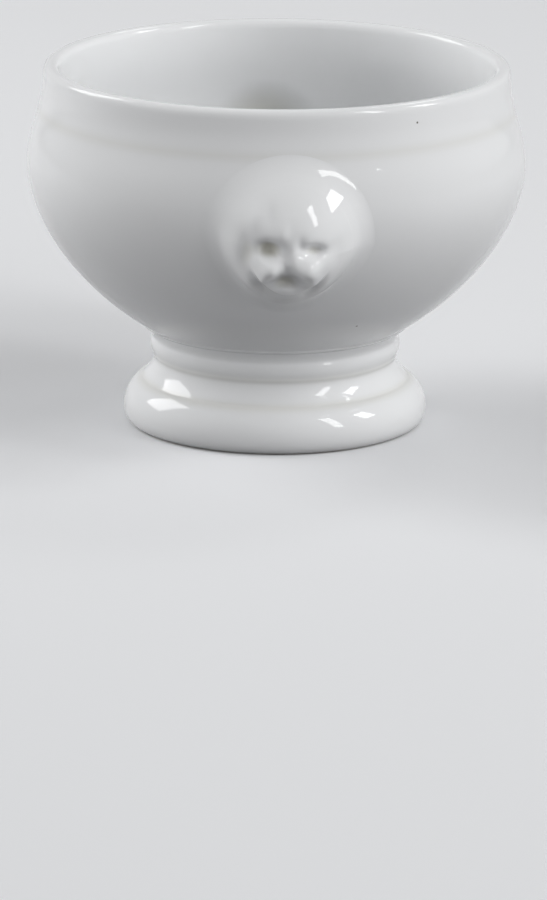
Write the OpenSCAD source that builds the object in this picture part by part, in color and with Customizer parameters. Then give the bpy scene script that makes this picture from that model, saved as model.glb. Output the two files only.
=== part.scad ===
// Lion-head soup crock in white glazed porcelain
// A round-bellied bowl stands on a pedestal foot, with a lion-head boss on the front and the rear.
// The bowl, the foot and the two heads are separate castings, luted together with slip before firing.
// Z is up, the foot stands on z = 0, its centre is the origin, and the front head faces -Y.

/* [Bowl] */
// Widest diameter of the belly
belly_d = 120; // [112:1:128]
// Height of the lip above the table
bowl_h = 88; // [84:0.5:94]
// Height of the lip above the widest part of the belly
lip_over_belly = 24; // [22:0.5:27]
// Outside diameter at the lip
lip_d = 112; // [108:0.5:114]
// Thickness of the wall at the belly
wall_t = 4.2; // [3.4:0.1:5]
// Thickness of the lip
lip_t = 3.6; // [3:0.1:4.4]
// Thickness of the floor in the middle
floor_t = 4.8; // [4:0.1:6]
// Height of the bowl's underside above the table, in the middle
under_z = 15; // [13:0.5:17]
// How far out the underside runs before the belly curves up
under_run = 31; // [28:0.5:34]
// How far below its widest point the belly starts to curve in
belly_drop = 21; // [18:0.5:24]

/* [Collar below the lip] */
// Height of the upright band under the lip
band_h = 7; // [5.5:0.5:8]
// How far the moulding under the band steps out from it
step_out = 1; // [0.6:0.1:1.3]
// Height of the moulding under the band
step_h = 3; // [2.4:0.1:3.6]
// Depth of the fine groove under the moulding
groove_depth = 0.25; // [0.1:0.05:0.4]
// Height of the fine groove
groove_h = 1.4; // [1:0.1:1.8]
// Height of the plain strip from the moulding down to the shoulder
strip_h = 3; // [2.4:0.1:4]

/* [Foot] */
// Widest diameter of the skirt
skirt_d = 73.4; // [70:0.2:78]
// Height of the widest part of the skirt
skirt_z = 3.8; // [3:0.1:5]
// Outer diameter of the ring that the foot stands on
ring_d = 67.6; // [65:0.2:69]
// Width of the ring that the foot stands on
ring_w = 3.4; // [2.8:0.1:4]
// Height of the fine groove at the top of the skirt
skirt_h = 10.8; // [10:0.1:11.6]
// Diameter at that groove
skirt_top_d = 65.2; // [63.6:0.2:66]
// Narrowest diameter of the neck
neck_d = 58.4; // [57:0.2:59.4]
// Diameter of the collar band at the top of the foot
collar_d = 61.2; // [60:0.2:62]
// Height of the collar band
collar_h = 4; // [3.2:0.1:4.6]
// Height of the hollow curve from the collar band up to the belly
root_h = 3.3; // [2.6:0.1:3.8]
// How far that curve runs out along the belly
root_run = 1.6; // [1.2:0.1:2]
// Thickness of the foot's wall at the neck
foot_wall_t = 3.9; // [3.2:0.1:4.6]
// Rise of the thin bead under the collar band
bead_rise = 0.3; // [0.2:0.05:0.4]

/* [Lion heads] */
// How far the middle of each head lies below the widest part of the belly
head_below_belly = 6; // [5:0.5:8]
// Width of each head
head_w = 34; // [31:0.5:36]
// Height of each head
head_h = 34; // [31:0.5:35]
// How far the forehead stands out from the wall
head_rise = 9.2; // [8.2:0.1:10]
// Thickness of the head's edge where it meets the slip
head_edge_t = 0.6; // [0.4:0.1:0.9]
// How far the front head was turned about its own axis as it was stuck on, in degrees
front_head_turn = 5; // [-8:0.5:8]
// Diameter of the opening in the wall behind each head
recess_d = 24; // [20:0.5:25]
// Depth of the hollow in the back of each head
recess_depth = 3.4; // [2.4:0.1:3.8]
// How much wider the opening is at the inside of the bowl, on each side
recess_flare = 2.4; // [1.5:0.1:3]

/* [Slip] */
// Thickness of the layers of slip in the joints
slip_t = 0.4; // [0.3:0.05:0.6]
// Width of the slip joint between the bowl and the foot
foot_joint_w = 6; // [5:0.1:6.4]

/* [Fineness] */
// Steps along each curve of an outline
curve_steps = 8; // [6:1:12]
// Sectors round each lion head
head_sectors = 60; // [40:4:64]
// Rings from the nose to the edge of each lion head
head_rings = 20; // [14:1:20]

/* [Hidden] */
$fn = 128;

porcelain = "#e9ebee";
fired_slip = "#d9d8d2";

belly_r = belly_d / 2;
lip_r = lip_d / 2;
skirt_r = skirt_d / 2;
ring_r = ring_d / 2;
skirt_top_r = skirt_top_d / 2;
neck_r = neck_d / 2;
collar_r = collar_d / 2;
recess_r = recess_d / 2;
belly_z = bowl_h - lip_over_belly;
head_z = belly_z - head_below_belly;
// Rounding of the lip's two corners
lip_round = lip_t * 0.45;
// Cuts run past the surface by this much
overrun = wall_t;

// A point and a direction on a cubic curve with four control points
function bezier(p, t) =
    pow(1 - t, 3) * p[0] + 3 * t * pow(1 - t, 2) * p[1] + 3 * t * t * (1 - t) * p[2] + pow(t, 3) * p[3];
function bezier_dir(p, t) =
    pow(1 - t, 2) * (p[1] - p[0]) + 2 * t * (1 - t) * (p[2] - p[1]) + t * t * (p[3] - p[2]);
function curve(p, steps) = [for (i = [0:steps]) bezier(p, i / steps)];
function reversed(list) = [for (i = [len(list) - 1:-1:0]) list[i]];
function tail(list) = [for (i = [1:len(list) - 1]) list[i]];
function arc(centre, radius, from, to) =
    [for (i = [0:curve_steps]) centre + radius * [cos(from + (to - from) * i / curve_steps),
                                                  sin(from + (to - from) * i / curve_steps)]];

// Outline of the bowl, as radius and height
band_r = lip_r + step_out * 0.3;
step_r = band_r + step_out;
band_z = bowl_h - band_h;
step_z = band_z - step_h;
strip_z = step_z - strip_h;
strip_r = step_r + (belly_r - step_r) * 0.18;
groove_z = step_z - groove_h / 2;

belly = [[0, under_z], [under_run, under_z], [belly_r, belly_z - belly_drop], [belly_r, belly_z]];
shoulder = [[belly_r, belly_z], [belly_r, belly_z + (strip_z - belly_z) * 0.45],
            [strip_r + (belly_r - strip_r) * 0.4, strip_z - (strip_z - belly_z) * 0.2], [strip_r, strip_z]];
// The moulding sweeps in from the strip to the upright band
moulding = [[step_r, step_z], [step_r, step_z + step_h * 0.5], [band_r, band_z - step_h * 0.5],
            [band_r, band_z]];

belly_points = curve(belly, curve_steps * 4);
shoulder_points = curve(shoulder, curve_steps);
moulding_points = curve(moulding, curve_steps);
groove_points = [[step_r, groove_z - groove_h / 2], [step_r - groove_depth, groove_z]];
lip_points = concat(arc([lip_r - lip_round, bowl_h - lip_round], lip_round, 0, 90),
                    arc([lip_r - lip_t + lip_round, bowl_h - lip_round], lip_round, 90, 180));
outer_points = concat(belly_points, tail(shoulder_points), groove_points, moulding_points, lip_points);

// The inside follows the belly at the wall's thickness, which grows towards the floor
function wall_at(r) = floor_t + (wall_t - floor_t) * r / belly_r;
function inward(p, dir) = p + wall_at(p.x) * [-dir.y, dir.x] / norm(dir);
inner_belly = [for (i = [0:curve_steps * 4])
    inward(bezier(belly, i / curve_steps / 4), bezier_dir(belly, i / curve_steps / 4))];
inner_top_z = bowl_h - lip_round;
inner_shoulder = curve([[belly_r - wall_t, belly_z],
                        [belly_r - wall_t, belly_z + (inner_top_z - belly_z) * 0.4],
                        [lip_r - lip_t, inner_top_z - (inner_top_z - belly_z) * 0.5],
                        [lip_r - lip_t, inner_top_z]], curve_steps * 2);
bowl_outline = concat(outer_points, reversed(concat(inner_belly, tail(inner_shoulder))));

// Radius of the outer wall at a height, on the outline's own straight steps
side_table = [for (p = concat(belly_points, tail(shoulder_points))) [p.y, p.x]];
function side_r(z) = lookup(z, side_table);
// Height of the underside at a radius, on the same steps
under_table = [for (p = belly_points) [p.x, p.y]];
function under_h(r) = lookup(r, under_table);

// The joint between the bowl and the foot follows the underside of the bowl
seat_out_r = collar_r + root_run;
seat_in_r = seat_out_r - foot_joint_w;
seat_top = concat([[seat_in_r, under_h(seat_in_r)]],
                  [for (p = belly_points) if (p.x > seat_in_r && p.x < seat_out_r) p],
                  [[seat_out_r, under_h(seat_out_r)]]);
seat_bottom = [for (p = seat_top) p - [0, slip_t]];
foot_top_z = under_h(seat_out_r) - slip_t;

// Outline of the foot, from the standing ring up the outside and down the inside
root_r = collar_r - root_run * 0.55;
root_z = foot_top_z - root_h;
collar_z = root_z - collar_h;
neck_z = collar_z - collar_h * 0.2;
cove_h = neck_z - skirt_h;
skirt_under = curve([[ring_r, 0], [skirt_r - (skirt_r - ring_r) * 0.3, 0], [skirt_r, skirt_z * 0.45],
                     [skirt_r, skirt_z]], curve_steps);
skirt_over = curve([[skirt_r, skirt_z], [skirt_r, skirt_z + (skirt_h - skirt_z) * 0.55],
                    [skirt_top_r + (skirt_r - skirt_top_r) * 0.3, skirt_h - (skirt_h - skirt_z) * 0.1],
                    [skirt_top_r, skirt_h]], curve_steps);
cove = curve([[skirt_top_r - bead_rise, skirt_h],
              [skirt_top_r - (skirt_top_r - neck_r) * 0.5, skirt_h + cove_h * 0.3],
              [neck_r, neck_z - cove_h * 0.4], [neck_r, neck_z]], curve_steps);
collar_bead = arc([neck_r + bead_rise, collar_z - bead_rise], bead_rise, -60, 90);
collar_face = curve([[neck_r + bead_rise, collar_z], [collar_r - bead_rise, collar_z + collar_h * 0.25],
                     [collar_r, root_z - collar_h * 0.35], [root_r, root_z]], curve_steps);
root = curve([[root_r, root_z], [root_r, root_z + root_h * 0.45],
              [seat_out_r - root_run * 0.6, foot_top_z - root_h * 0.4],
              [seat_out_r, foot_top_z]], curve_steps);
foot_inner_r = ring_r - ring_w;
foot_bore_r = neck_r - foot_wall_t;
foot_inside = curve([[seat_in_r, under_h(seat_in_r) - slip_t], [foot_bore_r, neck_z],
                     [foot_bore_r, skirt_h * 0.6], [foot_inner_r, 0]], curve_steps);
foot_outline = concat(skirt_under, tail(skirt_over), cove, collar_bead, tail(collar_face), tail(root),
                      tail(reversed(seat_bottom)), tail(foot_inside));

// Outline of a lion head, seen from its front: an egg that narrows to the chin
chin_taper_share = 0.24;
// Height of the nose below the middle of the head
nose_drop_share = 0.09;
nose = [0, -head_h * nose_drop_share];
function egg(angle) = [head_w / 2 * sin(angle) * (1 - chin_taper_share * max(0, -cos(angle))),
                       head_h / 2 * cos(angle)];
function ring_point(angle, share) = nose + share * (egg(angle) - nose);

// Relief of the face, mirrored left and right. Each row is a soft mound or hollow, as shares of the head's
// width: across, up from the middle of the head, half-width, half-height above and below, and rise
relief_shares = [
    [0.000, -0.094, 0.056, 0.106, 0.076,  0.026],   // bridge and tip of the nose
    [0.126, -0.144, 0.088, 0.059, 0.088,  0.053],   // muzzle puffs
    [0.176, -0.235, 0.068, 0.082, 0.047,  0.047],   // jowls
    [0.000, -0.159, 0.029, 0.041, 0.047, -0.015],   // cleft under the nose
    [0.156, -0.012, 0.074, 0.050, 0.071, -0.076],   // eye sockets
    [0.112,  0.129, 0.059, 0.100, 0.071,  0.015],   // tufts over the brows
    [0.012,  0.047, 0.032, 0.076, 0.059, -0.021],   // furrow between the brows
    [0.212,  0.135, 0.053, 0.100, 0.094, -0.012],   // furrows outside the brow tufts
    [0.341, -0.047, 0.071, 0.135, 0.135, -0.044],   // furrows between the cheeks and the mane
    [0.000, -0.247, 0.088, 0.050, 0.047, -0.053],   // mouth
    [0.000, -0.329, 0.076, 0.041, 0.047,  0.018]];  // lower lip and chin
// The modeller's tool went deeper into one eye: rows as above, but not mirrored
one_side_shares = [
    [-0.156, -0.035, 0.076, 0.056, 0.053, -0.026],  // the left eye, as seen from the front, is scooped out
    [ 0.159, -0.047, 0.071, 0.047, 0.053,  0.026]]; // the right one is only a slit under the brow
// The head falls off softly to its top and sides, and stays full down to the chin
fall_power = 2.4;
chin_power = 6;
edge_softness = 1.3;
// Under the jaw it steps back to a ruff that slopes down to the wall: the jaw's height in the middle, how
// it curves up to the sides, the height of the step, and where to the sides and over what it fades out
jaw_shares = [-0.381, 2.89, 0.021, 0.132, 0.162];
ruff_slope = 1;
// The mane ends in soft locks round the edge of the head
lock_count = 11;
lock_rise_share = 0.008;

// Rises smoothly from 0 to 1 over a width that starts at low
function ease(v, low, width) = let (t = min(1, max(0, (v - low) / width))) t * t * (3 - 2 * t);
function mound(u, w, row) =
    row[5] * exp(-pow((u - row[0]) / row[2], 2) - pow((w - row[1]) / (w > row[1] ? row[3] : row[4]), 2));
function sum(list, i = 0) = i < len(list) ? list[i] + sum(list, i + 1) : 0;
function under_jaw(u, w) =
    (1 - ease(w - u * u * jaw_shares[1], jaw_shares[0], jaw_shares[2]))
    * (1 - ease(u, jaw_shares[3], jaw_shares[4]));
// Share of the way from the side of the head, 0, round to the chin, 1
function to_chin(angle) = ease(-cos(angle), 0.3, 0.6);
function mass(angle, share) =
    let (chin = to_chin(angle), power = fall_power + (chin_power - fall_power) * chin,
         softness = edge_softness + (1 - edge_softness) * chin)
    head_edge_t + (head_rise - head_edge_t) * pow(1 - pow(share, power), softness);
function ruff(angle, share) = head_edge_t + ruff_slope * (1 - share) * norm(egg(angle) - nose);
function locks(angle, share) =
    head_w * lock_rise_share * cos(lock_count * angle) * pow(share, 3) * (1 - pow(share, 8)) * 2;
function relief(p, angle, share) =
    let (u = p.x / head_w, w = p.y / head_w, cut = under_jaw(abs(u), w), full = mass(angle, share))
    full - cut * max(0, full - ruff(angle, share)) + locks(angle, share)
    + head_w * (1 - pow(share, 5)) * (1 - cut) * (sum([for (row = relief_shares) mound(abs(u), w, row)])
                                                  + sum([for (row = one_side_shares) mound(u, w, row)]));

// A point of the head is a place on its front, turned with the head, and a distance out from the wall
function turned(p, turn) = [p.x * cos(turn) + p.y * sin(turn), head_z - p.x * sin(turn) + p.y * cos(turn)];
function on_wall(q, out) = [q.x, -sqrt(pow(side_r(q.y) + out, 2) - q.x * q.x), q.y];
function forward(q, out) = on_wall(q, slip_t) - [0, out, 0];

function face_ring(k, turn) = [for (j = [0:head_sectors - 1])
    let (angle = 360 * j / head_sectors, share = k / head_rings, p = ring_point(angle, share))
    forward(turned(p, turn), relief(p, angle, share))];
// The back runs from the edge to the round opening, and then up into the hollow
back_rings = 5;
hollow_rings = 6;
function back_ring(k, turn) = [for (j = [0:head_sectors - 1])
    let (edge = egg(360 * j / head_sectors), rim = edge * recess_r / norm(edge))
    forward(turned(edge + (rim - edge) * k / back_rings, turn), 0)];
function hollow_ring(k, turn) = [for (j = [0:head_sectors - 1])
    let (edge = egg(360 * j / head_sectors), a = 90 * k / hollow_rings)
    forward(turned(edge * recess_r / norm(edge) * cos(a), turn), recess_depth * sin(a))];

// A closed skin of triangles over a stack of rings, with a point at each end
function band_faces(k) = [for (j = [0:head_sectors - 1])
    let (a = 1 + k * head_sectors + j, b = 1 + k * head_sectors + (j + 1) % head_sectors)
    each [[a, b, b + head_sectors], [a, b + head_sectors, a + head_sectors]]];
module skin(first, rings, last) {
    bands = len(rings) - 1;
    end = 1 + len(rings) * head_sectors;
    polyhedron(
        points = concat([first], [for (ring = rings) each ring], [last]),
        faces = concat(
            [for (j = [0:head_sectors - 1]) [0, 1 + (j + 1) % head_sectors, 1 + j]],
            [for (k = [0:bands - 1]) each band_faces(k)],
            [for (j = [0:head_sectors - 1])
                [end, end - head_sectors + j, end - head_sectors + (j + 1) % head_sectors]]),
        convexity = 6);
}

// A hollow boss in the shape of a lion's head, seated on the wall
module lion_head(turn) {
    skin(forward(turned(nose, turn), relief(nose, 0, 0)),
         concat([for (k = [1:head_rings]) face_ring(k, turn)],
                [for (k = [0:back_rings]) back_ring(k, turn)],
                [for (k = [1:hollow_rings - 1]) hollow_ring(k, turn)]),
         forward(turned([0, 0], turn), recess_depth));
}

// The round opening behind a head, a little wider at the inside of the bowl
module recess_opening() {
    translate([0, 0, head_z]) rotate([90, 0, 0]) {
        cylinder(h = belly_r + overrun, r = recess_r);
        translate([0, 0, belly_r - wall_t * 2])
            cylinder(h = wall_t * 1.6, r1 = recess_r + recess_flare, r2 = recess_r);
    }
}

// A thin skin over the side of the bowl, cut to the head's outline and open behind the hollow
module head_slip(turn) {
    low_z = head_z - head_h * 0.55;
    high_z = min(head_z + head_h * 0.55, strip_z);
    inside = concat([[side_r(low_z), low_z]],
                    [for (row = side_table) if (row[0] > low_z && row[0] < high_z) [row[1], row[0]]],
                    [[side_r(high_z), high_z]]);
    outside = [for (p = inside) p + [slip_t, 0]];
    difference() {
        intersection() {
            rotate_extrude() polygon(concat(inside, reversed(outside)));
            rotate([90, 0, 0]) linear_extrude(height = belly_r + overrun)
                polygon([for (j = [0:head_sectors - 1]) turned(egg(360 * j / head_sectors), turn)]);
        }
        translate([0, 0, head_z]) rotate([90, 0, 0]) cylinder(h = belly_r + overrun * 2, r = recess_r);
    }
}

module bowl_body() {
    color(porcelain) difference() {
        rotate_extrude() polygon(bowl_outline);
        recess_opening();
        rotate([0, 0, 180]) recess_opening();
    }
}

module pedestal_foot() {
    color(porcelain) rotate_extrude() polygon(foot_outline);
}

module front_lion_head() {
    color(porcelain) lion_head(front_head_turn);
}

module rear_lion_head() {
    color(porcelain) rotate([0, 0, 180]) lion_head(0);
}

module foot_luting_slip() {
    color(fired_slip) rotate_extrude() polygon(concat(seat_bottom, reversed(seat_top)));
}

module front_head_luting_slip() {
    color(fired_slip) head_slip(front_head_turn);
}

module rear_head_luting_slip() {
    color(fired_slip) rotate([0, 0, 180]) head_slip(0);
}

bowl_body();
pedestal_foot();
front_lion_head();
rear_lion_head();
foot_luting_slip();
front_head_luting_slip();
rear_head_luting_slip();
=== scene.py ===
from bisect import bisect_left
from math import atan2, cos, exp, hypot, pi, radians, sin, sqrt

import bmesh
import bpy
from mathutils import Euler, Matrix, Vector


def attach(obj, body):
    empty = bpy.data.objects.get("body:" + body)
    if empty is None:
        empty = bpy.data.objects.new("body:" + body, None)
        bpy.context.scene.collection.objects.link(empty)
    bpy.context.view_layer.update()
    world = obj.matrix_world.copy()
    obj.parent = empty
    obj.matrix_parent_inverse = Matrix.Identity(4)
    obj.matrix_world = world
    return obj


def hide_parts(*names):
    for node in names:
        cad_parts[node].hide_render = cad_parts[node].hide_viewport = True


# Lion-head soup crock in white glazed porcelain.
# Sizes are in millimetres until a mesh is finished, and are the ones the solids were built from.
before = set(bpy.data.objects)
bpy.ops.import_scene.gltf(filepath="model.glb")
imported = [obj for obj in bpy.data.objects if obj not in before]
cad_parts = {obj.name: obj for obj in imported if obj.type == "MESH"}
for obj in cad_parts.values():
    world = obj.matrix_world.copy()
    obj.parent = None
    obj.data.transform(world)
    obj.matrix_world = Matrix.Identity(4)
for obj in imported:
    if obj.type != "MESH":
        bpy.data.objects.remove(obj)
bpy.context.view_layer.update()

MM = 0.001
scene = bpy.context.scene

# Sizes of the bowl
BOWL_H, LIP_R, BELLY_R, BELLY_Z = 88.0, 56.0, 60.0, 64.0
WALL_T, LIP_T, FLOOR_T = 4.2, 3.6, 4.8
UNDER_Z, UNDER_RUN, BELLY_DROP = 15.0, 31.0, 21.0
BAND_H, STEP_OUT, STEP_H, STRIP_H = 7.0, 1.0, 3.0, 3.0
GROOVE_DEPTH, GROOVE_H = 0.25, 1.4
LIP_ROUND = LIP_T * 0.45

# Sizes of the foot
SKIRT_R, SKIRT_Z, SKIRT_H, SKIRT_TOP_R = 36.7, 3.8, 10.8, 32.6
RING_R, RING_W, NECK_R, COLLAR_R, COLLAR_H = 33.8, 3.4, 29.2, 30.6, 4.0
ROOT_H, ROOT_RUN = 3.3, 1.6
FOOT_WALL_T, BEAD_RISE, FOOT_JOINT_W, SLIP_T = 3.9, 0.3, 6.0, 0.4

# Sizes of the lion heads
HEAD_Z, HEAD_W, HEAD_H, HEAD_RISE, HEAD_EDGE_T = 58.0, 34.0, 34.0, 9.2, 0.6
HEAD_TURNS = {"front": 5.0, "rear": 0.0}     # degrees that a head was stuck on turned by
CHIN_TAPER, NOSE_DROP = 0.24, 0.09
HOLLOW_R = 11.6                   # radius of the hollow in a head, just inside its joint
SWELL_OUT, SWELL_IN = 4.3, 5.0    # how far the wall's two faces swell into that hollow

# Fineness of the meshes
TURN_STEPS = 336          # steps of the bowl and the foot round their axis
HEAD_SECTORS = 208        # sectors of a head round its nose
FACE_RINGS = 92           # rings of a head from its nose to its edge
BOWL_POINT_GAP = 0.95     # between the points of the bowl's outline
FOOT_POINT_GAP = 0.42     # between the points of the foot's outline

# What the glaze softens: how often it is drawn smooth, and where
BOWL_PASSES, BOWL_SOFT_FROM, BAND_SOFT_UP = 8, 66.0, 3.0
FOOT_PASSES, NECK_SOFT_DOWN, NECK_SOFT_UP = 2, 2.5, 1.2
EDGE_PASSES, EDGE_SOFT_FROM, EDGE_SOFT_TO = 12, 0.85, 1.7


# Outlines
def bezier(p, t):
    a, b, c, d = (1 - t) ** 3, 3 * t * (1 - t) ** 2, 3 * t * t * (1 - t), t ** 3
    return [a * p[0][i] + b * p[1][i] + c * p[2][i] + d * p[3][i] for i in (0, 1)]


def curve(p, steps):
    return [bezier(p, i / steps) for i in range(steps + 1)]


def arc(x, z, radius, start, end, steps):
    turns = [radians(start + (end - start) * i / steps) for i in range(steps + 1)]
    return [[x + radius * cos(a), z + radius * sin(a)] for a in turns]


def blend_in(value, low, high):
    """0 up to low, 1 from high on, and a smooth rise between them."""
    t = min(1.0, max(0.0, (value - low) / (high - low)))
    return t * t * (3 - 2 * t)


def evenly(points, step):
    """The same outline with its points step apart, so that the glaze can soften its corners."""
    out, left = [points[0]], step
    for a, b in zip(points, points[1:]):
        run = hypot(b[0] - a[0], b[1] - a[1])
        while run > left:
            f = left / run
            a = [a[0] + (b[0] - a[0]) * f, a[1] + (b[1] - a[1]) * f]
            out.append(a)
            run = hypot(b[0] - a[0], b[1] - a[1])
            left = step
        left -= run
    return out + [points[-1]]


def softened(points, passes, low, high):
    """Glaze rounds the clay's corners between two heights: a point moves towards its neighbours."""
    for _ in range(passes):
        points = [points[0]] + [
            [(a[i] + 2 * b[i] + c[i]) / 4 for i in (0, 1)] if low < b[1] < high else b
            for a, b, c in zip(points, points[1:], points[2:])
        ] + [points[-1]]
    return points


BAND_R = LIP_R + STEP_OUT * 0.3
STEP_R = BAND_R + STEP_OUT
BAND_Z = BOWL_H - BAND_H
STEP_Z = BAND_Z - STEP_H
STRIP_Z = STEP_Z - STRIP_H
STRIP_R = STEP_R + (BELLY_R - STEP_R) * 0.18
GROOVE_Z = STEP_Z - GROOVE_H / 2
INNER_TOP_Z = BOWL_H - LIP_ROUND

BELLY = [[0, UNDER_Z], [UNDER_RUN, UNDER_Z], [BELLY_R, BELLY_Z - BELLY_DROP], [BELLY_R, BELLY_Z]]
SHOULDER = [
    [BELLY_R, BELLY_Z],
    [BELLY_R, BELLY_Z + (STRIP_Z - BELLY_Z) * 0.45],
    [STRIP_R + (BELLY_R - STRIP_R) * 0.4, STRIP_Z - (STRIP_Z - BELLY_Z) * 0.2],
    [STRIP_R, STRIP_Z],
]
GROOVE = [
    [STEP_R, GROOVE_Z - GROOVE_H / 2],
    [STEP_R - GROOVE_DEPTH, GROOVE_Z],
    [STEP_R, STEP_Z],
]
MOULDING = [
    [STEP_R, STEP_Z],
    [STEP_R, STEP_Z + STEP_H * 0.5],
    [BAND_R, BAND_Z - STEP_H * 0.5],
    [BAND_R, BAND_Z],
]
INNER_SHOULDER = [
    [BELLY_R - WALL_T, BELLY_Z],
    [BELLY_R - WALL_T, BELLY_Z + (INNER_TOP_Z - BELLY_Z) * 0.4],
    [LIP_R - LIP_T, INNER_TOP_Z - (INNER_TOP_Z - BELLY_Z) * 0.5],
    [LIP_R - LIP_T, INNER_TOP_Z],
]


def inner_belly(steps=96, reach=0.001):
    """The inside follows the belly at the wall's thickness, which grows towards the floor."""
    out = []
    for i in range(steps + 1):
        a = bezier(BELLY, max(0, i / steps - reach))
        b = bezier(BELLY, min(1, i / steps + reach))
        p, run = bezier(BELLY, i / steps), hypot(b[0] - a[0], b[1] - a[1])
        t = FLOOR_T + (WALL_T - FLOOR_T) * p[0] / BELLY_R
        out.append([p[0] - t * (b[1] - a[1]) / run, p[1] + t * (b[0] - a[0]) / run])
    out[0][0] = 0.0
    return out


def bowl_outline():
    """Outline of the bowl: up the outside, over the lip and down the inside."""
    outside = curve(BELLY, 120) + curve(SHOULDER, 24)[1:] + GROOVE + curve(MOULDING, 12)[1:]
    outside += arc(LIP_R - LIP_ROUND, INNER_TOP_Z, LIP_ROUND, 0, 90, 10)
    outside += arc(LIP_R - LIP_T + LIP_ROUND, INNER_TOP_Z, LIP_ROUND, 90, 180, 10)
    inside = inner_belly() + curve(INNER_SHOULDER, 24)[1:]
    whole = evenly(outside + inside[::-1][1:], BOWL_POINT_GAP)
    return softened(whole, BOWL_PASSES, BOWL_SOFT_FROM, BAND_Z + BAND_SOFT_UP)


bowl_line = bowl_outline()
top_point = max(range(len(bowl_line)), key=lambda i: bowl_line[i][1])
side = bowl_line[:top_point + 1]
side_heights = [p[1] for p in side]
widest_point = max(range(len(side)), key=lambda i: side[i][0])
under_radii = [p[0] for p in side[:widest_point + 1]]


def read_off(keys, key, of):
    """The other coordinate of the side's outline at a height or a radius."""
    i = min(len(keys) - 1, max(1, bisect_left(keys, key)))
    f = (key - keys[i - 1]) / max(keys[i] - keys[i - 1], 1e-9)
    return side[i - 1][of] + (side[i][of] - side[i - 1][of]) * min(1.0, max(0.0, f))


def side_r(z):
    """Radius of the outer wall at a height."""
    return read_off(side_heights, z, 0)


def under_z(r):
    """Height of the bowl's underside at a radius."""
    return read_off(under_radii, r, 1)


# Mesh tools
def spun(outline, steps, closed=False):
    """An outline, as radius and height, spun a quarter round the axis and mirrored twice."""
    bm = bmesh.new()
    verts = [bm.verts.new((r, 0, z)) for r, z in outline]
    edges = [bm.edges.new(pair) for pair in zip(verts, verts[1:])]
    if closed:
        edges.append(bm.edges.new((verts[-1], verts[0])))
    bmesh.ops.spin(bm, geom=verts + edges, cent=(0, 0, 0), axis=(0, 0, 1),
                   angle=pi / 2, steps=steps // 4)
    for axis in "XY":
        bmesh.ops.mirror(bm, geom=bm.verts[:] + bm.edges[:] + bm.faces[:],
                         axis=axis, merge_dist=0.0005)
    bmesh.ops.remove_doubles(bm, verts=bm.verts, dist=0.0005)
    bmesh.ops.recalc_face_normals(bm, faces=bm.faces)
    return bm


def piece(name, bm, finish, nodes):
    """Makes the mesh an object in metres, gives it its finish and ties it to the frame."""
    bmesh.ops.scale(bm, vec=(MM, MM, MM), verts=bm.verts)
    mesh = bpy.data.meshes.new(name)
    bm.to_mesh(mesh)
    bm.free()
    mesh.shade_smooth()
    obj = bpy.data.objects.new(name, mesh)
    scene.collection.objects.link(obj)
    mesh.materials.append(finish)
    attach(obj, "root")
    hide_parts(*nodes)
    return obj


def pool_layer(bm):
    """An attribute: how thick the glaze has pooled, 0 to 1, and painted shade in the recesses
    behind the heads.
    """
    return bm.verts.layers.float.new("glaze_pool_and_shade")


def pooled_line(z, at, wide, deep):
    """Glaze pooled in a line round the crock at a height."""
    return deep * exp(-((z - at) / wide) ** 2)


# Finishes
# Sockets that go by number: the colours of a Mix node, and the limits of a Map Range node
MIX_A, MIX_B = 6, 7
FROM_LOW, FROM_HIGH, TO_LOW, TO_HIGH = 1, 2, 3, 4
GLAZE_IOR, GLAZE_ROUGHNESS, BARE_ROUGHNESS = 1.52, 0.035, 0.75


def hex_colour(code):
    channels = [int(code[i:i + 2], 16) / 255 for i in (1, 3, 5)]
    return tuple(c / 12.92 if c <= 0.04045 else ((c + 0.055) / 1.055) ** 2.4
                 for c in channels) + (1.0,)


def node(tree, kind, settings=None, **links):
    """Adds one node. Settings are properties or sockets, and links come from other nodes."""
    made = tree.nodes.new(kind)
    for key, value in (settings or {}).items():
        if isinstance(key, int):
            made.inputs[key].default_value = value
        elif key in made.inputs:
            made.inputs[key].default_value = value
        else:
            setattr(made, key, value)
    for key, source in links.items():
        by_number = key[0] == "i" and key[1:].isdigit()
        socket = made.inputs[int(key[1:]) if by_number else key.replace("_", " ")]
        tree.links.new(source, socket)
    return made


def blank(name):
    finish = bpy.data.materials.new(name)
    finish.use_nodes = True
    finish.node_tree.nodes.clear()
    return finish, finish.node_tree


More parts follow.
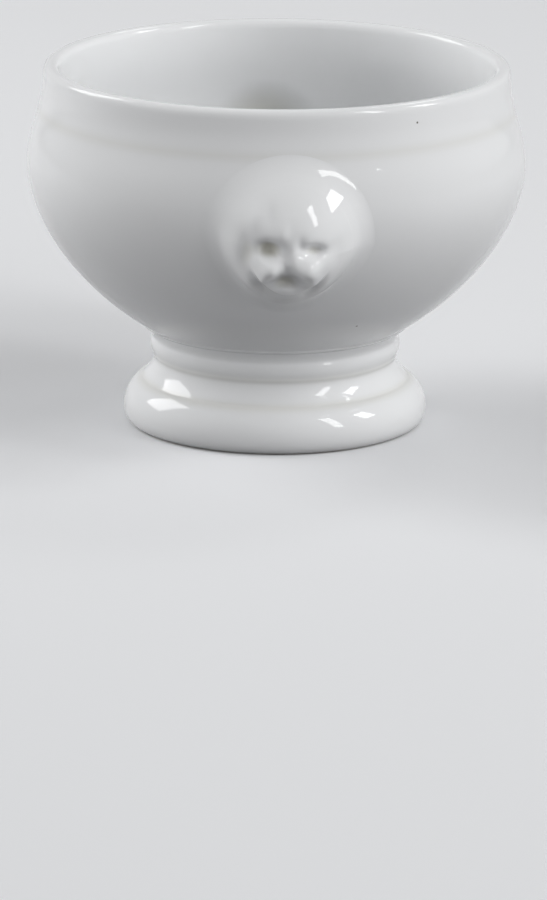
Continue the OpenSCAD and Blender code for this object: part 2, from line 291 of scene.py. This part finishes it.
def glazed_porcelain(name, bare_below=None):
    """Hard-paste porcelain, slip-cast and dipped in clear glaze: cold white, mirror-bright."""
    finish, tree = blank(name)
    place = node(tree, "ShaderNodeTexCoord").outputs["Object"]

    # Clay shows through the glaze as faint clouds about 40 mm across
    clouds = node(tree, "ShaderNodeTexNoise",
                  {"Scale": 1 / 0.040, "Detail": 2.0, "Roughness": 0.5}, Vector=place)
    body = node(tree, "ShaderNodeMix",
                {"data_type": "RGBA", MIX_A: hex_colour("#e5e6e7"), MIX_B: hex_colour("#edeeef")},
                i0=clouds.outputs["Fac"])

    # Where the glaze pools, it is thicker, and iron in it tints it olive; in the recess behind each
    # head this tint is partly painted shade
    pool = node(tree, "ShaderNodeAttribute", {"attribute_name": "glaze_pool_and_shade"})
    pooled = node(tree, "ShaderNodeMix", {"data_type": "RGBA", MIX_B: hex_colour("#c2bfae")},
                  i0=pool.outputs["Fac"], i6=body.outputs[2])

    # Pinholes: specks of 0.3 to 0.5 mm, a few centimetres apart
    specks = node(tree, "ShaderNodeTexVoronoi", {"Scale": 1 / 0.024, "Randomness": 1.0},
                  Vector=place)
    hole = node(tree, "ShaderNodeMapRange",
                {FROM_LOW: 0.009, FROM_HIGH: 0.014, TO_LOW: 1.0, TO_HIGH: 0.0},
                i0=specks.outputs["Distance"])
    speckled = node(tree, "ShaderNodeMix", {"data_type": "RGBA", MIX_B: hex_colour("#6b675f")},
                    i0=hole.outputs["Result"], i6=pooled.outputs[2])

    # The glaze ran a little as it melted: waves about 14 mm long and a few microns high
    waves = node(tree, "ShaderNodeTexNoise",
                 {"Scale": 1 / 0.014, "Detail": 1.0, "Roughness": 0.4}, Vector=place)
    skin = node(tree, "ShaderNodeBump", {"Strength": 0.35, "Distance": 0.00006},
                Height=waves.outputs["Fac"])

    shader = node(tree, "ShaderNodeBsdfPrincipled",
                  {"IOR": GLAZE_IOR, "Roughness": GLAZE_ROUGHNESS},
                  Base_Color=speckled.outputs[2], Normal=skin.outputs["Normal"])
    if bare_below is not None:
        # The foot stands in the kiln on a wiped, unglazed ring
        height = node(tree, "ShaderNodeSeparateXYZ", i0=place).outputs["Z"]
        ragged = node(tree, "ShaderNodeTexNoise", {"Scale": 1 / 0.006, "Detail": 3.0},
                      Vector=place)
        edge = node(tree, "ShaderNodeMath", {"operation": "MULTIPLY_ADD", 1: -0.0004},
                    i0=ragged.outputs["Fac"], i2=height)
        bare = node(tree, "ShaderNodeMapRange",
                    {FROM_LOW: bare_below, FROM_HIGH: bare_below + 0.0001,
                     TO_LOW: 1.0, TO_HIGH: 0.0},
                    i0=edge.outputs[0]).outputs["Result"]
        grain = node(tree, "ShaderNodeTexNoise", {"Scale": 1 / 0.0006, "Detail": 4.0},
                     Vector=place)
        bisque = node(tree, "ShaderNodeMix",
                      {"data_type": "RGBA",
                       MIX_A: hex_colour("#cfcac0"), MIX_B: hex_colour("#e0dcd3")},
                      i0=grain.outputs["Fac"])
        colour = node(tree, "ShaderNodeMix", {"data_type": "RGBA"},
                      i0=bare, i6=speckled.outputs[2], i7=bisque.outputs[2])
        tree.links.new(colour.outputs[2], shader.inputs["Base Color"])
        rough = node(tree, "ShaderNodeMapRange",
                     {FROM_LOW: 0.0, FROM_HIGH: 1.0,
                      TO_LOW: GLAZE_ROUGHNESS, TO_HIGH: BARE_ROUGHNESS}, i0=bare)
        tree.links.new(rough.outputs["Result"], shader.inputs["Roughness"])
    node(tree, "ShaderNodeOutputMaterial", Surface=shader.outputs[0])
    return finish


def fired_slip():
    """The line of slip in a joint, fired under the glaze: a shade warmer than the castings."""
    finish, tree = blank("fired_luting_slip")
    place = node(tree, "ShaderNodeTexCoord").outputs["Object"]
    grain = node(tree, "ShaderNodeTexNoise", {"Scale": 1 / 0.002, "Detail": 3.0}, Vector=place)
    colour = node(tree, "ShaderNodeMix",
                  {"data_type": "RGBA",
                   MIX_A: hex_colour("#d3d0c6"), MIX_B: hex_colour("#deddd6")},
                  i0=grain.outputs["Fac"])
    shader = node(tree, "ShaderNodeBsdfPrincipled", {"IOR": GLAZE_IOR, "Roughness": 0.25},
                  Base_Color=colour.outputs[2])
    node(tree, "ShaderNodeOutputMaterial", Surface=shader.outputs[0])
    return finish


bowl_glaze = glazed_porcelain("bowl_glazed_porcelain")
head_glaze = glazed_porcelain("lion_head_glazed_porcelain")
foot_glaze = glazed_porcelain("foot_glazed_porcelain", bare_below=0.00015)
joint_slip = fired_slip()


# Lion heads
# Soft mounds and hollows of the face, mirrored left and right, in mm: across, up from the middle
# of the head, half-width, half-height above and below, and rise
FACE = [
    (4.1, -5.7, 3.0, 2.6, 2.1, 2.6),      # muzzle puffs
    (5.9, -8.1, 1.8, 2.6, 1.5, 1.5),      # jowls
    (3.5, -7.6, 1.5, 2.0, 1.2, 0.9),      # the puffs hang over the corners of the mouth
    (5.2, -0.4, 2.5, 1.6, 2.2, -2.7),     # eye sockets
    (10.8, -1.6, 2.2, 4.2, 4.6, -0.7),    # furrows between the cheeks and the mane
    (0.0, -7.5, 9.0, 4.0, 4.0, -1.5),     # the face is flatter under the eyes
]
# The modeller's tool went deeper on one side: places as above, but not mirrored
FACE_ONE_SIDE = [
    (-5.0, -1.7, 3.2, 2.3, 1.5, -1.3),    # the left eye, as seen from the front, is scooped out
    (5.2, -2.4, 2.7, 1.9, 3.4, 1.4),      # the right one is only a slit under the brow
    (1.8, 1.0, 1.2, 1.9, 1.8, -0.6),      # furrow beside the bridge of the nose
    (0.4, -3.4, 1.7, 2.4, 2.4, 0.8),      # bridge of the nose
    (-1.4, -3.6, 0.8, 2.2, 1.8, -0.3),    # groove to the left of it
    (1.6, -5.6, 1.9, 2.4, 1.7, 1.0),      # the right puff reaches in to the bridge
    (-0.6, -8.9, 2.5, 1.9, 2.4, -2.1),    # mouth
    (-0.4, -10.4, 1.7, 1.5, 1.5, 1.0),    # lower lip and chin
    (-5.3, -8.5, 1.7, 2.4, 1.9, 0.5),     # the left jowl is the fuller one
    (-2.6, 3.4, 1.5, 2.6, 1.8, 0.5),      # tuft over the left brow
    (-5.6, 7.0, 1.5, 3.0, 2.6, -0.5),     # furrow outside it
    (-9.3, 6.4, 1.7, 2.8, 3.2, 0.6),      # tuft at the left temple
    (-10.0, -2.8, 1.9, 4.0, 4.6, -1.2),   # the left cheek's furrow is deeper
]
MIDLINE_ROUND = 0.6                # keeps the mirrored mounds smooth where they meet
FALL_POWER, CHIN_POWER = 2.4, 6.0  # how full the head stays towards its edge, and at the chin
EDGE_SOFTNESS = 1.3                # over 1, the head falls off softly to its edge
POOL_FROM, POOL_FULL, POOL_MOST = 1.1, 3.4, 0.6

# The ruff under the jaw
JAW_Z, JAW_BEND, JAW_BLEND = -12.6, 0.085, 0.35
RUFF_IN, RUFF_OUT = 4.5, 10.0

# The skin of a head runs through these stations: the face from the nose (0) to its edge (1), the
# fillet (to 2), the turn behind the fillet's edge, the back against the slip (3 to 4), and the
# hollow to its middle (5)
EDGE, FILLET_END, TURN_OUT, TURN_IN, BACK, HOLLOW, MIDDLE = 1, 2, 2.25, 2.5, 3, 4, 5
NEAR = 0.0001
FILLET_RUN = 3.4     # how far the fillet runs out over the wall
HAIR = 0.02          # by how much a skin is sunk in, or kept off, the one beside it
BACK_OUT = 0.06      # how far the back reaches past the face's outline
TURN_DEPTH = 0.04    # how deep the turn is sunk in the wall
HOLLOW_EDGE_R = HOLLOW_R + 0.3
SWELL_GAP = 0.1      # between the swell of the wall and the head's hollow
SWELL_OUT_CORE = 4.5
SWELL_IN_CORE, SWELL_IN_REACH = 3.0, 15.0


def egg(angle):
    """Outline of a head from its front: round at the top, narrowing to the chin."""
    narrow = 1 - CHIN_TAPER * max(0.0, -cos(angle))
    return HEAD_W / 2 * sin(angle) * narrow, HEAD_H / 2 * cos(angle)


def face_sum(x, z):
    """Rise of the face's mounds over the head, and how deep the glaze pools in its hollows."""
    rise = 0.0
    for rows, u in ((FACE, hypot(x, MIDLINE_ROUND)), (FACE_ONE_SIDE, x)):
        for across, up, wide, above, below, high in rows:
            tall = above if z > up else below
            rise += high * exp(-((u - across) / wide) ** 2 - ((z - up) / tall) ** 2)
    return rise, max(0.0, -POOL_FROM - rise)


def head_rise(x, z, share, angle):
    """How far the face stands out from the slip, and the pooled glaze, at a place on the head."""
    # The head falls off softly to the mane, and stays full down to the chin
    chin = blend_in(-cos(angle), -0.3, 0.95)
    power = FALL_POWER + (CHIN_POWER - FALL_POWER) * chin
    softness = EDGE_SOFTNESS + (1 - EDGE_SOFTNESS) * chin
    mass = HEAD_EDGE_T + (HEAD_RISE - HEAD_EDGE_T) * (1 - share ** power) ** softness
    # Under the jaw it steps back to a ruff that slopes down to the wall
    jaw = z - (JAW_Z + JAW_BEND * x * x)
    under = (1 - blend_in(jaw, -JAW_BLEND, JAW_BLEND)) * (1 - blend_in(abs(x), RUFF_IN, RUFF_OUT))
    ex, ez = egg(angle)
    ruff = min(mass, HEAD_EDGE_T + (1 - share) * hypot(ex, ez + HEAD_H * NOSE_DROP))
    rise, pool = face_sum(x, z)
    fade = (1 - share ** 5) * (1 - under)
    return mass + (ruff - mass) * under + rise * fade, pool * fade


def wall_point(x, z, out):
    """A place in front of the head's outline, brought back to a distance out from the wall."""
    r = side_r(z) + out
    return Vector((x, -sqrt(r * r - x * x), z))


def swell(rho, depth, reach, core):
    """The wall swells into the hollow of a head: full in the middle, and gone at reach."""
    return depth * (1 - blend_in(rho, core, reach))


def skin_point(s, angle):
    """A place on a head's skin: across, up, out from the wall, rise over that, and the pool."""
    ex, ez = egg(angle)
    far = hypot(ex, ez)
    if s <= EDGE + NEAR:
        share = min(1.0, s)
        x, z = ex * share, -HEAD_H * NOSE_DROP + share * (ez + HEAD_H * NOSE_DROP)
        rise, pooled = head_rise(x, z, share, angle)
        return x, z, SLIP_T, rise, pooled
    if s <= FILLET_END + NEAR:
        # The edge is sponged down to the wall in a small fillet
        t = min(1.0, s - EDGE)
        grow = 1 + FILLET_RUN * t / far
        return ex * grow, ez * grow, 0.0, (SLIP_T + HEAD_EDGE_T + HAIR) * (1 - t) ** 2 - HAIR, 0.0
    if s < BACK - NEAR:
        grow = 1 + BACK_OUT / far
        return ex * grow, ez * grow, -TURN_DEPTH if s < TURN_IN - NEAR else SLIP_T + HAIR, 0.0, 0.0
    if s <= HOLLOW + NEAR:
        rho = far + BACK_OUT + (HOLLOW_EDGE_R - far) * max(0.0, s - BACK)
        return ex / far * rho, ez / far * rho, SLIP_T + HAIR, 0.0, 0.0
    rho = HOLLOW_EDGE_R * (MIDDLE - min(MIDDLE, s))
    lift = swell(rho, SWELL_OUT, HOLLOW_R, SWELL_OUT_CORE) + SWELL_GAP
    return ex / far * rho, ez / far * rho, max(SLIP_T + HAIR, lift), 0.0, 0.0


def lion_head(name, side_name, nodes):
    turn = radians(HEAD_TURNS[side_name])
    stops = [i / FACE_RINGS for i in range(FACE_RINGS + 1)]
    stops += [EDGE + i / 8 for i in range(1, 9)] + [TURN_OUT, TURN_IN]
    stops += [BACK + i / 8 for i in range(9)] + [HOLLOW + i / 14 for i in range(1, 15)]
    bm = spun([[s, 0] for s in stops], HEAD_SECTORS)
    pool = pool_layer(bm)
    edge = []
    for v in bm.verts:
        s = hypot(v.co.x, v.co.y)
        if EDGE_SOFT_FROM < s < EDGE_SOFT_TO:
            edge.append(v)
        x, z, out, rise, pooled = skin_point(s, atan2(v.co.x, v.co.y))
        px, pz = x * cos(turn) + z * sin(turn), HEAD_Z - x * sin(turn) + z * cos(turn)
        v.co = wall_point(px, pz, out) - Vector((0, rise, 0))
        v[pool] = min(POOL_MOST, pooled / POOL_FULL)
    for _ in range(EDGE_PASSES):
        bmesh.ops.smooth_vert(bm, verts=edge, factor=0.5,
                              use_axis_x=True, use_axis_y=True, use_axis_z=True)
    bmesh.ops.remove_doubles(bm, verts=bm.verts, dist=0.002)
    bmesh.ops.recalc_face_normals(bm, faces=bm.faces)
    if side_name == "rear":
        half_turn = Matrix.Rotation(pi, 3, "Z")
        bmesh.ops.rotate(bm, cent=(0, 0, 0), matrix=half_turn, verts=bm.verts)
    return piece(name, bm, head_glaze, nodes)


# Bowl
FACING_Y, FACING_LOW, FACING_HIGH = 40.0, 30.0, 80.0    # the part of the wall behind a head
FLOOR_POOL_LOW, FLOOR_POOL_HIGH = 19.5, 24.0            # glaze pools on the bowl's floor
ROOT_POOL_Z = 23.4                                      # and round the foot's joint
# The recess behind a head is tinted as pooled glaze, and partly as painted shade in that recess
RECESS_POOL_AND_SHADE, FLOOR_POOL = 0.4, 0.25


def bowl():
    bm = spun(bowl_line, TURN_STEPS)
    pool = pool_layer(bm)
    for v in bm.verts:
        z = v.co.z
        rho = hypot(v.co.x, z - HEAD_Z)
        facing = abs(v.co.y) > FACING_Y and FACING_LOW < z < FACING_HIGH
        inner = hypot(v.co.x, v.co.y) < side_r(z) - WALL_T / 2
        # Inner and outer wall both swell into the hollow behind a head
        if facing and inner:
            push = swell(rho, SWELL_IN, SWELL_IN_REACH, SWELL_IN_CORE)
            v.co.y += push if v.co.y > 0 else -push
            # The recess takes the pooled tint as it deepens: partly pooled glaze, partly painted
            # shade
            v[pool] = RECESS_POOL_AND_SHADE * push / SWELL_IN
        elif facing and rho < HOLLOW_R:
            push = swell(rho, SWELL_OUT, HOLLOW_R, SWELL_OUT_CORE)
            v.co.y += push if v.co.y > 0 else -push
        elif not inner:
            v[pool] = pooled_line(z, GROOVE_Z, 1.2, 0.16) + pooled_line(z, ROOT_POOL_Z, 0.9, 0.3)
        if inner and not facing:
            v[pool] = FLOOR_POOL * (1 - blend_in(z, FLOOR_POOL_LOW, FLOOR_POOL_HIGH))
    return piece("glazed_bowl", bm, bowl_glaze, ["bowl_body"])


# Foot
GLAZE_RUN = 0.7                         # how far the glaze runs out past the foot's joint
SINK_RUN, SINK_IN, SINK_BACK = 1.2, 0.03, 0.5
SEAT_GAP = 0.04


def foot():
    seat_out, seat_in = COLLAR_R + ROOT_RUN, COLLAR_R + ROOT_RUN - FOOT_JOINT_W
    root_r, root_z = COLLAR_R - ROOT_RUN * 0.55, under_z(seat_out) - SLIP_T - ROOT_H
    collar_z = root_z - COLLAR_H
    neck_z = collar_z - COLLAR_H * 0.2
    cove_h = neck_z - SKIRT_H
    bore_r = NECK_R - FOOT_WALL_T
    # The glaze carries the hollow curve over the slip's edge and out onto the belly
    edge_r = seat_out + GLAZE_RUN
    edge = [edge_r, under_z(edge_r)]
    slope = (under_z(edge_r + 0.2) - under_z(edge_r - 0.2)) / 0.4

    outline = curve([[RING_R, 0], [SKIRT_R - (SKIRT_R - RING_R) * 0.3, 0],
                     [SKIRT_R, SKIRT_Z * 0.45], [SKIRT_R, SKIRT_Z]], 20)
    outline += curve([[SKIRT_R, SKIRT_Z], [SKIRT_R, SKIRT_Z + (SKIRT_H - SKIRT_Z) * 0.55],
                      [SKIRT_TOP_R + (SKIRT_R - SKIRT_TOP_R) * 0.3,
                       SKIRT_H - (SKIRT_H - SKIRT_Z) * 0.1],
                      [SKIRT_TOP_R, SKIRT_H]], 24)[1:]
    outline += curve([[SKIRT_TOP_R - BEAD_RISE, SKIRT_H],
                      [SKIRT_TOP_R - (SKIRT_TOP_R - NECK_R) * 0.5, SKIRT_H + cove_h * 0.3],
                      [NECK_R, neck_z - cove_h * 0.4], [NECK_R, neck_z]], 20)
    outline += arc(NECK_R + BEAD_RISE, collar_z - BEAD_RISE, BEAD_RISE, -60, 90, 8)
    outline += curve([[NECK_R + BEAD_RISE, collar_z],
                      [COLLAR_R - BEAD_RISE, collar_z + COLLAR_H * 0.25],
                      [COLLAR_R, root_z - COLLAR_H * 0.35], [root_r, root_z]], 16)[1:]
    outline += curve([[root_r, root_z], [root_r, root_z + ROOT_H * 0.5],
                      [edge_r - SINK_RUN, edge[1] - SINK_RUN * slope], edge], 20)[1:]
    # Past its edge the skin sinks into the belly's clay, so that no edge of it shows
    for r in (edge_r + SINK_RUN, seat_out + SEAT_GAP):
        sunk = [[r, under_z(r) + SINK_IN], [r, under_z(r) + SINK_BACK]]
        outline += sunk if r > edge_r else sunk[::-1]
    # The seat against the slip, and the bore
    outline += [[seat_out + SEAT_GAP - FOOT_JOINT_W * i / 8,
                 under_z(seat_out - FOOT_JOINT_W * i / 8) - SLIP_T] for i in range(9)]
    outline += curve([[seat_in, under_z(seat_in) - SLIP_T], [bore_r, neck_z],
                      [bore_r, SKIRT_H * 0.6], [RING_R - RING_W, 0]], 28)[1:]
    whole = evenly(outline + [outline[0]], FOOT_POINT_GAP)[:-1]
    outline = softened(whole, FOOT_PASSES, neck_z - NECK_SOFT_DOWN, collar_z + NECK_SOFT_UP)

    bm = spun(outline, TURN_STEPS, closed=True)
    pool = pool_layer(bm)
    for v in bm.verts:
        z = v.co.z
        if hypot(v.co.x, v.co.y) > NECK_R - 0.5:
            v[pool] = pooled_line(z, SKIRT_H, 0.8, 0.25) + pooled_line(z, neck_z + 0.4, 1.0, 0.2)
    return piece("glazed_foot", bm, foot_glaze, ["pedestal_foot"])


bowl()
foot()
lion_head("front_lion_mask", "front", ["front_lion_head"])
lion_head("rear_lion_mask", "rear", ["rear_lion_head"])
for name in ("foot_luting_slip", "front_head_luting_slip", "rear_head_luting_slip"):
    slip = bpy.data.objects[name]
    slip.data.materials.clear()
    slip.data.materials.append(joint_slip)


# Floor, light and camera
# The soft light of the room: a direction, how tight the light keeps to it, and how bright it is
ROOM_BASE = 0.035
ROOM_LIGHT = [
    ((0.70, -0.58, 0.28), 4.0, 2.45),
    ((0.98, 0.10, 0.0), 6.0, 0.9),
    ((-0.98, 0.10, 0.0), 6.0, 5.2),
    ((0.0, 0.9, 0.42), 2.0, 0.14),
]
# Softboxes, in metres and watts: a name, a place, width, height and power
SOFTBOXES = [
    ("window_right", (1.107, -0.156, 0.843), 0.25, 0.40, 2.4),
    ("window_left", (-0.927, 0.472, 0.750), 0.50, 0.70, 4.6),
    ("lamp_right", (0.835, -0.744, 0.843), 0.18, 0.80, 2.8),
    ("window_behind", (0.494, 0.706, 1.103), 0.30, 0.30, 1.0),
]
LAMP_AIM = Vector((0, 0, 0.05))


def in_sight(tree):
    """1 for what is seen, straight or in a glossy or clear surface, and 0 for soft light."""
    path = node(tree, "ShaderNodeLightPath")
    seen = node(tree, "ShaderNodeMath", {"operation": "MAXIMUM"},
                i0=path.outputs["Is Camera Ray"], i1=path.outputs["Is Glossy Ray"])
    return node(tree, "ShaderNodeMath", {"operation": "MAXIMUM"},
                i0=seen.outputs[0], i1=path.outputs["Is Transmission Ray"]).outputs[0]


def pale_floor():
    """A pale matt table: seen pale, and giving back little light from under the crock."""
    finish, tree = blank("pale_table")
    colour = node(tree, "ShaderNodeMix",
                  {"data_type": "RGBA",
                   MIX_A: hex_colour("#7c7c7e"), MIX_B: hex_colour("#eeeff1")},
                  i0=in_sight(tree))
    shader = node(tree, "ShaderNodeBsdfDiffuse", Color=colour.outputs[2])
    node(tree, "ShaderNodeOutputMaterial", Surface=shader.outputs[0])
    bm = bmesh.new()
    bmesh.ops.create_grid(bm, x_segments=1, y_segments=1, size=3.0)
    mesh = bpy.data.meshes.new("table_top")
    bm.to_mesh(mesh)
    bm.free()
    mesh.materials.append(finish)
    table = bpy.data.objects.new("table_top", mesh)
    scene.collection.objects.link(table)


def softbox(name, place, wide, tall, power):
    lamp = bpy.data.lights.new(name, "AREA")
    lamp.shape, lamp.size, lamp.size_y, lamp.energy = "RECTANGLE", wide, tall, power
    obj = bpy.data.objects.new(name, lamp)
    obj.location = place
    obj.rotation_euler = (LAMP_AIM - Vector(place)).to_track_quat("-Z", "Y").to_euler()
    scene.collection.objects.link(obj)


def pale_room():
    """A pale world that is lighter where the room's windows are."""
    world = bpy.data.worlds.new("pale_room")
    world.use_nodes = True
    tree = world.node_tree
    tree.nodes.clear()
    way = node(tree, "ShaderNodeTexCoord").outputs["Generated"]
    light = None
    for towards, tight, bright in ROOM_LIGHT:
        dot = node(tree, "ShaderNodeVectorMath",
                   {"operation": "DOT_PRODUCT", 1: Vector(towards).normalized()}, i0=way)
        front = node(tree, "ShaderNodeMath", {"operation": "MAXIMUM", 1: 0.0},
                     i0=dot.outputs["Value"])
        lobe = node(tree, "ShaderNodeMath", {"operation": "POWER", 1: tight},
                    i0=front.outputs[0])
        base = ROOM_BASE if light is None else 0.0
        part = node(tree, "ShaderNodeMath", {"operation": "MULTIPLY_ADD", 1: bright, 2: base},
                    i0=lobe.outputs[0])
        if light is not None:
            tree.links.new(light, part.inputs[2])
        light = part.outputs[0]
    room = node(tree, "ShaderNodeBackground", {"Color": hex_colour("#e8e8e8")}, Strength=light)
    seen = node(tree, "ShaderNodeBackground", {"Color": hex_colour("#d6d7d9"), "Strength": 1.0})
    either = node(tree, "ShaderNodeMixShader",
                  i0=in_sight(tree), i1=room.outputs[0], i2=seen.outputs[0])
    node(tree, "ShaderNodeOutputWorld", Surface=either.outputs[0])
    scene.world = world


def camera():
    """Stands 1.5 m off, 13 degrees up and a little to the left, as the photograph was taken."""
    away, up, across = 1.5, radians(13.19), radians(3.2)
    aim = Vector((0, 0, 0.045))
    way_back = Vector((-sin(across) * cos(up), -cos(across) * cos(up), sin(up)))
    data = bpy.data.cameras.new("camera")
    data.sensor_fit, data.sensor_height, data.lens = "VERTICAL", 36.0, 248.3
    obj = bpy.data.objects.new("camera", data)
    look = (-way_back).to_track_quat("-Z", "Y")
    # The crock stands in the upper half of the picture, which is turned by under half a degree
    tilt = Euler((radians(-1.963), radians(0.0074), 0)).to_quaternion()
    roll = Euler((0, 0, radians(0.42))).to_quaternion()
    obj.location = aim + away * way_back
    obj.rotation_euler = (look @ tilt @ roll).to_euler()
    scene.collection.objects.link(obj)
    scene.camera = obj


pale_floor()
pale_room()
for row in SOFTBOXES:
    softbox(*row)
camera()
scene.view_settings.view_transform = "Standard"
